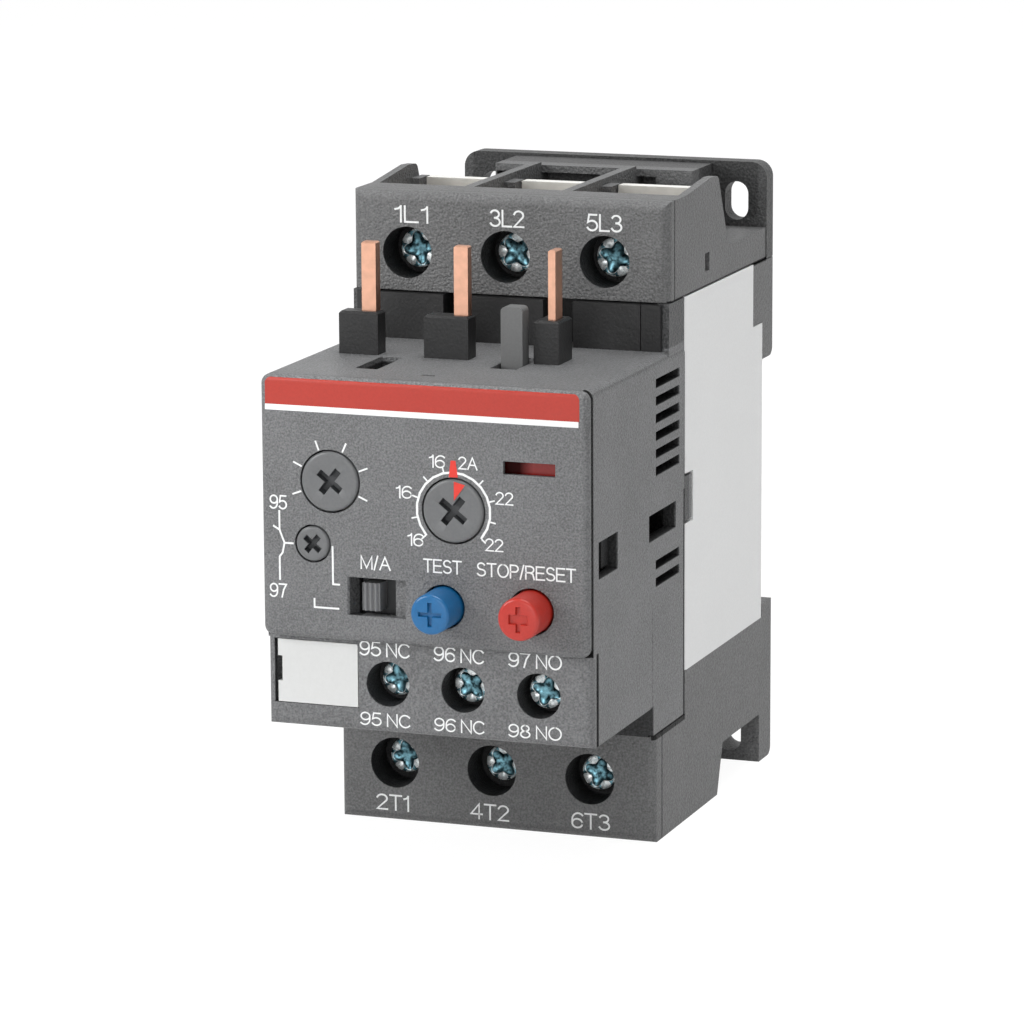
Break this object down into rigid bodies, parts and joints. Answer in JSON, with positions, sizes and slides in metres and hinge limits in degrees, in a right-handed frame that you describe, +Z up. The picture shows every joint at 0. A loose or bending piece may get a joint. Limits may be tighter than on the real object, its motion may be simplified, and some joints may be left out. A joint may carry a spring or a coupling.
{
  "type": "thermal overload relay",
  "caption": "Three-pole thermal overload relay with setting dials, test and reset buttons, contact pins and screw terminals on a rail and panel mounting base.",
  "frame": {"origin": "foot of the rear mounting plane at mid-width", "axes": "+X across the poles to the right seen from the front, +Y from the front cover to the mounting plane, +Z up"},
  "size_m": [0.045, 0.084, 0.0866],
  "materials": {
    "dark_case": "fine leather-grained moulding, satin",
    "dark_housing": "fine leather-grained moulding, satin",
    "black_plastic": "black moulding, satin",
    "pale_plastic": "smooth pale grey moulding",
    "white_plate": "smooth white plate",
    "dial_grey": "smooth mid-grey moulding",
    "hook_grey": "smooth mid-grey moulding",
    "blue_plastic": "blue moulding",
    "red_plastic": "red moulding",
    "flag_red": "dark red moulding",
    "inner_plastic": "natural insulating moulding",
    "copper": "bare copper",
    "plated_steel": "blue zinc plate",
    "cage_steel": "nickel plate",
    "spring_steel": "bright spring wire",
    "bimetal": "bimetal strip",
    "heater": "resistance ribbon"
  },
  "bodies": {
    "base": {"aux_contact_bars": "copper", "aux_terminal_block": "dark_case", "aux_terminal_cover": "dark_case", "barrier_insert": "black_plastic", "base_body": "pale_plastic", "bimetal_holder": "inner_plastic", "bimetal_strips": "bimetal", "clip_spring": "spring_steel", "contact_pin_left": "copper", "contact_pin_middle": "copper", "contact_pin_right": "copper", "front_cover": "dark_case", "heater_coils": "heater", "line_bars": "copper", "load_bars": "copper", "lower_terminal_housing": "dark_housing", "marker_plate": "white_plate", "mechanism_frame": "inner_plastic", "pin_sleeve_left": "black_plastic", "pin_sleeve_middle": "black_plastic", "pin_sleeve_right": "black_plastic", "pivot_pins": "spring_steel", "rail_hook_plate": "dark_housing", "relay_case": "dark_case", "reset_spring": "spring_steel", "test_spring": "spring_steel", "upper_terminal_housing": "dark_housing"},
    "line_screw_1": {"line_screw_1": "plated_steel"},
    "line_cage_1": {"line_cage_1": "cage_steel"},
    "line_screw_2": {"line_screw_2": "plated_steel"},
    "line_cage_2": {"line_cage_2": "cage_steel"},
    "line_screw_3": {"line_screw_3": "plated_steel"},
    "line_cage_3": {"line_cage_3": "cage_steel"},
    "load_screw_1": {"load_screw_1": "plated_steel"},
    "load_cage_1": {"load_cage_1": "cage_steel"},
    "load_screw_2": {"load_screw_2": "plated_steel"},
    "load_cage_2": {"load_cage_2": "cage_steel"},
    "load_screw_3": {"load_screw_3": "plated_steel"},
    "load_cage_3": {"load_cage_3": "cage_steel"},
    "aux_screw_1": {"aux_screw_1": "plated_steel"},
    "aux_cage_1": {"aux_cage_1": "cage_steel"},
    "aux_screw_2": {"aux_screw_2": "plated_steel"},
    "aux_cage_2": {"aux_cage_2": "cage_steel"},
    "aux_screw_3": {"aux_screw_3": "plated_steel"},
    "aux_cage_3": {"aux_cage_3": "cage_steel"},
    "current_dial": {"current_dial": "dial_grey"},
    "range_dial": {"range_dial": "dial_grey"},
    "selector_dial": {"selector_dial": "dial_grey"},
    "test_button": {"test_button": "blue_plastic"},
    "reset_button": {"reset_button": "red_plastic"},
    "mode_slider": {"mode_slider": "dial_grey"},
    "coupling_hook": {"coupling_hook": "hook_grey"},
    "trip_lever": {"trip_lever": "inner_plastic"},
    "trip_slide": {"trip_slide": "inner_plastic"},
    "contact_rocker": {"contact_rocker": "inner_plastic"},
    "trip_flag": {"trip_flag": "flag_red"},
    "rail_clip": {"rail_clip": "black_plastic"}
  },
  "joints": [
    {"name": "line_cage_1_slide", "type": "slide", "parent": "base", "child": "line_cage_1", "axis": [0, -1, 0], "range_m": [0, 0.0035]},
    {"name": "line_screw_1_turn", "type": "hinge", "parent": "base", "child": "line_screw_1", "pos_m": [-0.0146, -0.0412, 0.07725], "axis": [0, 1, 0], "range_deg": [0, 1801]},
    {"name": "line_cage_2_slide", "type": "slide", "parent": "base", "child": "line_cage_2", "axis": [0, -1, 0], "range_m": [0, 0.0035]},
    {"name": "line_screw_2_turn", "type": "hinge", "parent": "base", "child": "line_screw_2", "pos_m": [-0.0006, -0.0412, 0.07725], "axis": [0, 1, 0], "range_deg": [0, 1801]},
    {"name": "line_cage_3_slide", "type": "slide", "parent": "base", "child": "line_cage_3", "axis": [0, -1, 0], "range_m": [0, 0.0035]},
    {"name": "line_screw_3_turn", "type": "hinge", "parent": "base", "child": "line_screw_3", "pos_m": [0.0134, -0.0412, 0.07725], "axis": [0, 1, 0], "range_deg": [0, 1801]},
    {"name": "load_cage_1_slide", "type": "slide", "parent": "base", "child": "load_cage_1", "axis": [0, -1, 0], "range_m": [0, 0.0035]},
    {"name": "load_screw_1_turn", "type": "hinge", "parent": "base", "child": "load_screw_1", "pos_m": [-0.0146, -0.0476, 0.0082], "axis": [0, 1, 0], "range_deg": [0, 1801]},
    {"name": "load_cage_2_slide", "type": "slide", "parent": "base", "child": "load_cage_2", "axis": [0, -1, 0], "range_m": [0, 0.0035]},
    {"name": "load_screw_2_turn", "type": "hinge", "parent": "base", "child": "load_screw_2", "pos_m": [-0.0006, -0.0476, 0.0082], "axis": [0, 1, 0], "range_deg": [0, 1801]},
    {"name": "load_cage_3_slide", "type": "slide", "parent": "base", "child": "load_cage_3", "axis": [0, -1, 0], "range_m": [0, 0.0035]},
    {"name": "load_screw_3_turn", "type": "hinge", "parent": "base", "child": "load_screw_3", "pos_m": [0.0134, -0.0476, 0.0082], "axis": [0, 1, 0], "range_deg": [0, 1801]},
    {"name": "aux_cage_1_slide", "type": "slide", "parent": "base", "child": "aux_cage_1", "axis": [0, -1, 0], "range_m": [0, 0.0025]},
    {"name": "aux_screw_1_turn", "type": "hinge", "parent": "base", "child": "aux_screw_1", "pos_m": [-0.0057, -0.0724, 0.0254], "axis": [0, 1, 0], "range_deg": [0, 1501]},
    {"name": "aux_cage_2_slide", "type": "slide", "parent": "base", "child": "aux_cage_2", "axis": [0, -1, 0], "range_m": [0, 0.0025]},
    {"name": "aux_screw_2_turn", "type": "hinge", "parent": "base", "child": "aux_screw_2", "pos_m": [0.0047, -0.0724, 0.0254], "axis": [0, 1, 0], "range_deg": [0, 1501]},
    {"name": "aux_cage_3_slide", "type": "slide", "parent": "base", "child": "aux_cage_3", "axis": [0, -1, 0], "range_m": [0, 0.0025]},
    {"name": "aux_screw_3_turn", "type": "hinge", "parent": "base", "child": "aux_screw_3", "pos_m": [0.0151, -0.0724, 0.0254], "axis": [0, 1, 0], "range_deg": [0, 1501]},
    {"name": "current_dial_turn", "type": "hinge", "parent": "base", "child": "current_dial", "pos_m": [0.0042, -0.079, 0.0493], "axis": [0, 1, 0], "range_deg": [-135, 135]},
    {"name": "range_dial_turn", "type": "hinge", "parent": "base", "child": "range_dial", "pos_m": [-0.0128, -0.079, 0.0521], "axis": [0, 1, 0], "range_deg": [-150, 150]},
    {"name": "selector_dial_turn", "type": "hinge", "parent": "base", "child": "selector_dial", "pos_m": [-0.0153, -0.079, 0.04375], "axis": [0, 1, 0], "range_deg": [-90, 90]},
    {"name": "test_button_press", "type": "slide", "parent": "base", "child": "test_button", "axis": [0, 1, 0], "range_m": [0, 0.0025], "stiffness_N_per_m": 800, "deforming": ["test_spring"]},
    {"name": "reset_button_press", "type": "slide", "parent": "base", "child": "reset_button", "axis": [0, 1, 0], "range_m": [0, 0.0025], "stiffness_N_per_m": 800, "deforming": ["reset_spring"]},
    {"name": "mode_slider_move", "type": "slide", "parent": "base", "child": "mode_slider", "axis": [1, 0, 0], "range_m": [0, 0.0015]},
    {"name": "coupling_hook_move", "type": "slide", "parent": "base", "child": "coupling_hook", "axis": [0, -1, 0], "range_m": [0, 0.003]},
    {"name": "trip_slide_move", "type": "slide", "parent": "base", "child": "trip_slide", "axis": [1, 0, 0], "range_m": [0, 0.00148]},
    {"name": "trip_lever_swing", "type": "hinge", "parent": "base", "child": "trip_lever", "pos_m": [-0.004, -0.06, 0.047], "axis": [0, 1, 0], "range_deg": [0, 9.05]},
    {"name": "contact_rocker_swing", "type": "hinge", "parent": "base", "child": "contact_rocker", "pos_m": [-0.008, -0.06, 0.0405], "axis": [0, 1, 0], "range_deg": [-12.7, 0]},
    {"name": "trip_flag_move", "type": "slide", "parent": "base", "child": "trip_flag", "axis": [1, 0, 0], "range_m": [0, 0.00161]},
    {"name": "rail_clip_slide", "type": "slide", "parent": "base", "child": "rail_clip", "axis": [0, 0, -1], "range_m": [0, 0.003], "stiffness_N_per_m": 1500, "deforming": ["clip_spring"]}
  ],
  "couplings": [
    {"joint": "line_screw_1_turn", "follows": "line_cage_1_slide", "rad_per_m": 8976},
    {"joint": "line_screw_2_turn", "follows": "line_cage_2_slide", "rad_per_m": 8976},
    {"joint": "line_screw_3_turn", "follows": "line_cage_3_slide", "rad_per_m": 8976},
    {"joint": "load_screw_1_turn", "follows": "load_cage_1_slide", "rad_per_m": 8976},
    {"joint": "load_screw_2_turn", "follows": "load_cage_2_slide", "rad_per_m": 8976},
    {"joint": "load_screw_3_turn", "follows": "load_cage_3_slide", "rad_per_m": 8976},
    {"joint": "aux_screw_1_turn", "follows": "aux_cage_1_slide", "rad_per_m": 10472},
    {"joint": "aux_screw_2_turn", "follows": "aux_cage_2_slide", "rad_per_m": 10472},
    {"joint": "aux_screw_3_turn", "follows": "aux_cage_3_slide", "rad_per_m": 10472},
    {"joint": "trip_lever_swing", "follows": "trip_slide_move", "rad_per_m": 106.38},
    {"joint": "contact_rocker_swing", "follows": "trip_slide_move", "rad_per_m": -148.94},
    {"joint": "trip_flag_move", "follows": "trip_slide_move", "ratio": 1.0836}
  ]
}
